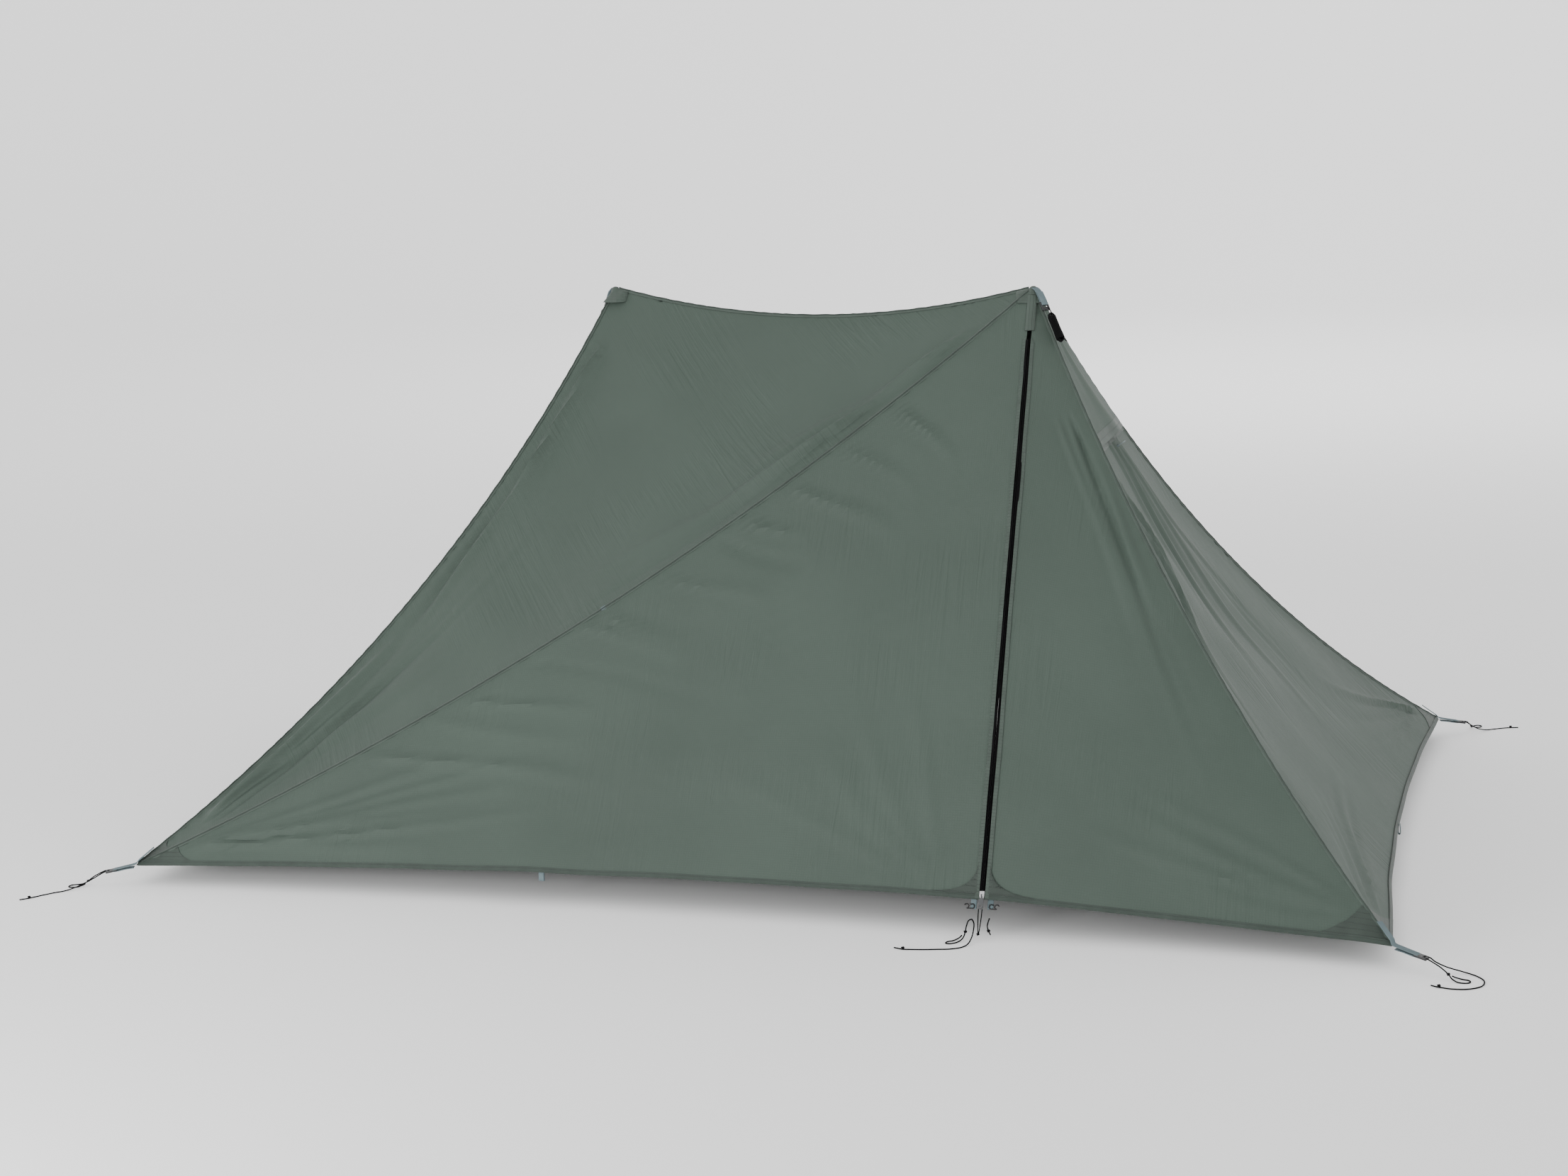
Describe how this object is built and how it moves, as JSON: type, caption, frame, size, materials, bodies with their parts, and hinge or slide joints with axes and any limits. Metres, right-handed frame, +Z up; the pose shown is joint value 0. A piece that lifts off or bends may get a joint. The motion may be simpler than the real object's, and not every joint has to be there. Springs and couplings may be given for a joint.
{
  "type": "a-frame tent",
  "caption": "One-person A-frame shelter: a six-panel cloth fly over two upright poles, with zipped fold-back doors, hooded vents and corner peg lines.",
  "frame": {"origin": "on the ground under the middle of the fly, half way between the two peaks", "axes": "+Z up, +X along the long side from the front left corner to the front right one, -Y out of the front doors"},
  "size_m": [2.9074, 1.9637, 1.1642],
  "materials": {
    "fly_cloth": "thin coated ripstop nylon, grey green, faint sheen",
    "bound_cloth": "doubled cloth, folded and stitched, a darker grey green",
    "mesh": "fine insect netting",
    "zip_tape": "woven tape with a coated coil",
    "webbing": "flat woven webbing, light grey",
    "guy_line": "braided line",
    "black_plastic": "moulded",
    "pull_tab": "soft moulded, dark grey",
    "slider_metal": "plated casting",
    "strut_plastic": "stiff strip, light grey",
    "pole_tube": "satin anodised",
    "rubber": "moulded rubber",
    "lever_metal": "satin"
  },
  "bodies": {
    "canopy": {"roof_front": "fly_cloth", "roof_rear": "fly_cloth", "end_wall_right": "fly_cloth", "end_wall_left": "fly_cloth", "door_surrounds_front": "fly_cloth", "door_surrounds_rear": "fly_cloth", "ridge_seam": "bound_cloth", "corner_seams": "bound_cloth", "end_hems": "bound_cloth", "corner_patches": "bound_cloth", "peak_caps": "bound_cloth", "vent_meshes": "mesh", "vent_hood_right": "fly_cloth", "vent_hood_left": "fly_cloth", "webbing_loops": "webbing", "line_adjusters": "black_plastic", "corner_line_a": "guy_line", "corner_line_b": "guy_line", "corner_line_c": "guy_line", "corner_line_d": "guy_line", "line_knots": "guy_line", "peak_webbings": "webbing", "peak_hank_front": "guy_line", "peak_hank_rear": "guy_line", "door_line_front": "guy_line", "door_line_rear": "guy_line", "pole_feet": "rubber", "pole_lower_tubes": "pole_tube", "pole_clamps": "black_plastic"},
    "door_wide_front": {"door_wide_front": "fly_cloth", "hem_wide_front": "bound_cloth", "zip_wide_front": "zip_tape", "clip_wide_front": "black_plastic"},
    "door_narrow_front": {"door_narrow_front": "fly_cloth", "hem_narrow_front": "bound_cloth", "zip_narrow_front": "zip_tape", "clip_narrow_front": "black_plastic"},
    "door_wide_rear": {"door_wide_rear": "fly_cloth", "hem_wide_rear": "bound_cloth", "zip_wide_rear": "zip_tape", "clip_wide_rear": "black_plastic"},
    "door_narrow_rear": {"door_narrow_rear": "fly_cloth", "hem_narrow_rear": "bound_cloth", "zip_narrow_rear": "zip_tape", "clip_narrow_rear": "black_plastic"},
    "slider_front": {"zip_slider_front": "slider_metal"},
    "slider_rear": {"zip_slider_rear": "slider_metal"},
    "pull_front": {"zip_pull_front": "pull_tab", "pull_cord_front": "guy_line"},
    "pull_rear": {"zip_pull_rear": "pull_tab", "pull_cord_rear": "guy_line"},
    "strut_right": {"vent_strut_right": "strut_plastic"},
    "strut_left": {"vent_strut_left": "strut_plastic"},
    "pole_top_front": {"pole_upper_front": "pole_tube", "pole_tip_front": "rubber"},
    "pole_top_rear": {"pole_upper_rear": "pole_tube", "pole_tip_rear": "rubber"},
    "lever_front": {"clamp_lever_front": "lever_metal"},
    "lever_rear": {"clamp_lever_rear": "lever_metal"}
  },
  "joints": [
    {"name": "wide_door_fold_front", "type": "hinge", "parent": "canopy", "child": "door_wide_front", "pos_m": [0.50172, -0.16084, 1.06598], "axis": [-0.7979, -0.3331, -0.5023], "range_deg": [0, 135]},
    {"name": "wide_door_fold_rear", "type": "hinge", "parent": "canopy", "child": "door_wide_rear", "pos_m": [-0.50172, 0.16084, 1.06598], "axis": [0.7979, 0.3331, -0.5023], "range_deg": [0, 135]},
    {"name": "narrow_door_fold_front", "type": "hinge", "parent": "canopy", "child": "door_narrow_front", "pos_m": [1.12032, -0.83842, 0.04625], "axis": [-0.451, 0.494, 0.7434], "range_deg": [0, 135]},
    {"name": "narrow_door_fold_rear", "type": "hinge", "parent": "canopy", "child": "door_narrow_rear", "pos_m": [-1.12032, 0.83842, 0.04625], "axis": [0.451, -0.494, 0.7434], "range_deg": [0, 135]},
    {"name": "zip_run_front", "type": "slide", "parent": "canopy", "child": "slider_front", "axis": [-0.0153, 0.5433, 0.8394], "range_m": [0, 1.18]},
    {"name": "zip_run_rear", "type": "slide", "parent": "canopy", "child": "slider_rear", "axis": [0.0153, -0.5433, 0.8394], "range_m": [0, 1.18]},
    {"name": "pull_swing_front", "type": "hinge", "parent": "slider_front", "child": "pull_front", "pos_m": [0.51985, -0.81104, 0.07511], "axis": [-0.9998, -0.0015, -0.0173], "range_deg": [0, 150]},
    {"name": "pull_swing_rear", "type": "hinge", "parent": "slider_rear", "child": "pull_rear", "pos_m": [-0.51985, 0.81104, 0.07511], "axis": [0.9998, 0.0015, -0.0173], "range_deg": [0, 150]},
    {"name": "vent_strut_fold_right", "type": "hinge", "parent": "canopy", "child": "strut_right", "pos_m": [0.66722, -0.08677, 0.82591], "axis": [0, 1, 0], "range_deg": [0, 85]},
    {"name": "vent_strut_fold_left", "type": "hinge", "parent": "canopy", "child": "strut_left", "pos_m": [-0.66722, 0.08677, 0.82591], "axis": [0, -1, 0], "range_deg": [0, 85]},
    {"name": "pole_slide_front", "type": "slide", "parent": "canopy", "child": "pole_top_front", "axis": [0, 0, 1], "range_m": [-0.4, 0]},
    {"name": "pole_slide_rear", "type": "slide", "parent": "canopy", "child": "pole_top_rear", "axis": [0, 0, 1], "range_m": [-0.4, 0]},
    {"name": "lever_swing_front", "type": "hinge", "parent": "canopy", "child": "lever_front", "pos_m": [0.5, -0.1167, 0.598], "axis": [0, 0, -1], "range_deg": [0, 120]},
    {"name": "lever_swing_rear", "type": "hinge", "parent": "canopy", "child": "lever_rear", "pos_m": [-0.5, 0.1167, 0.598], "axis": [0, 0, -1], "range_deg": [0, 120]}
  ]
}
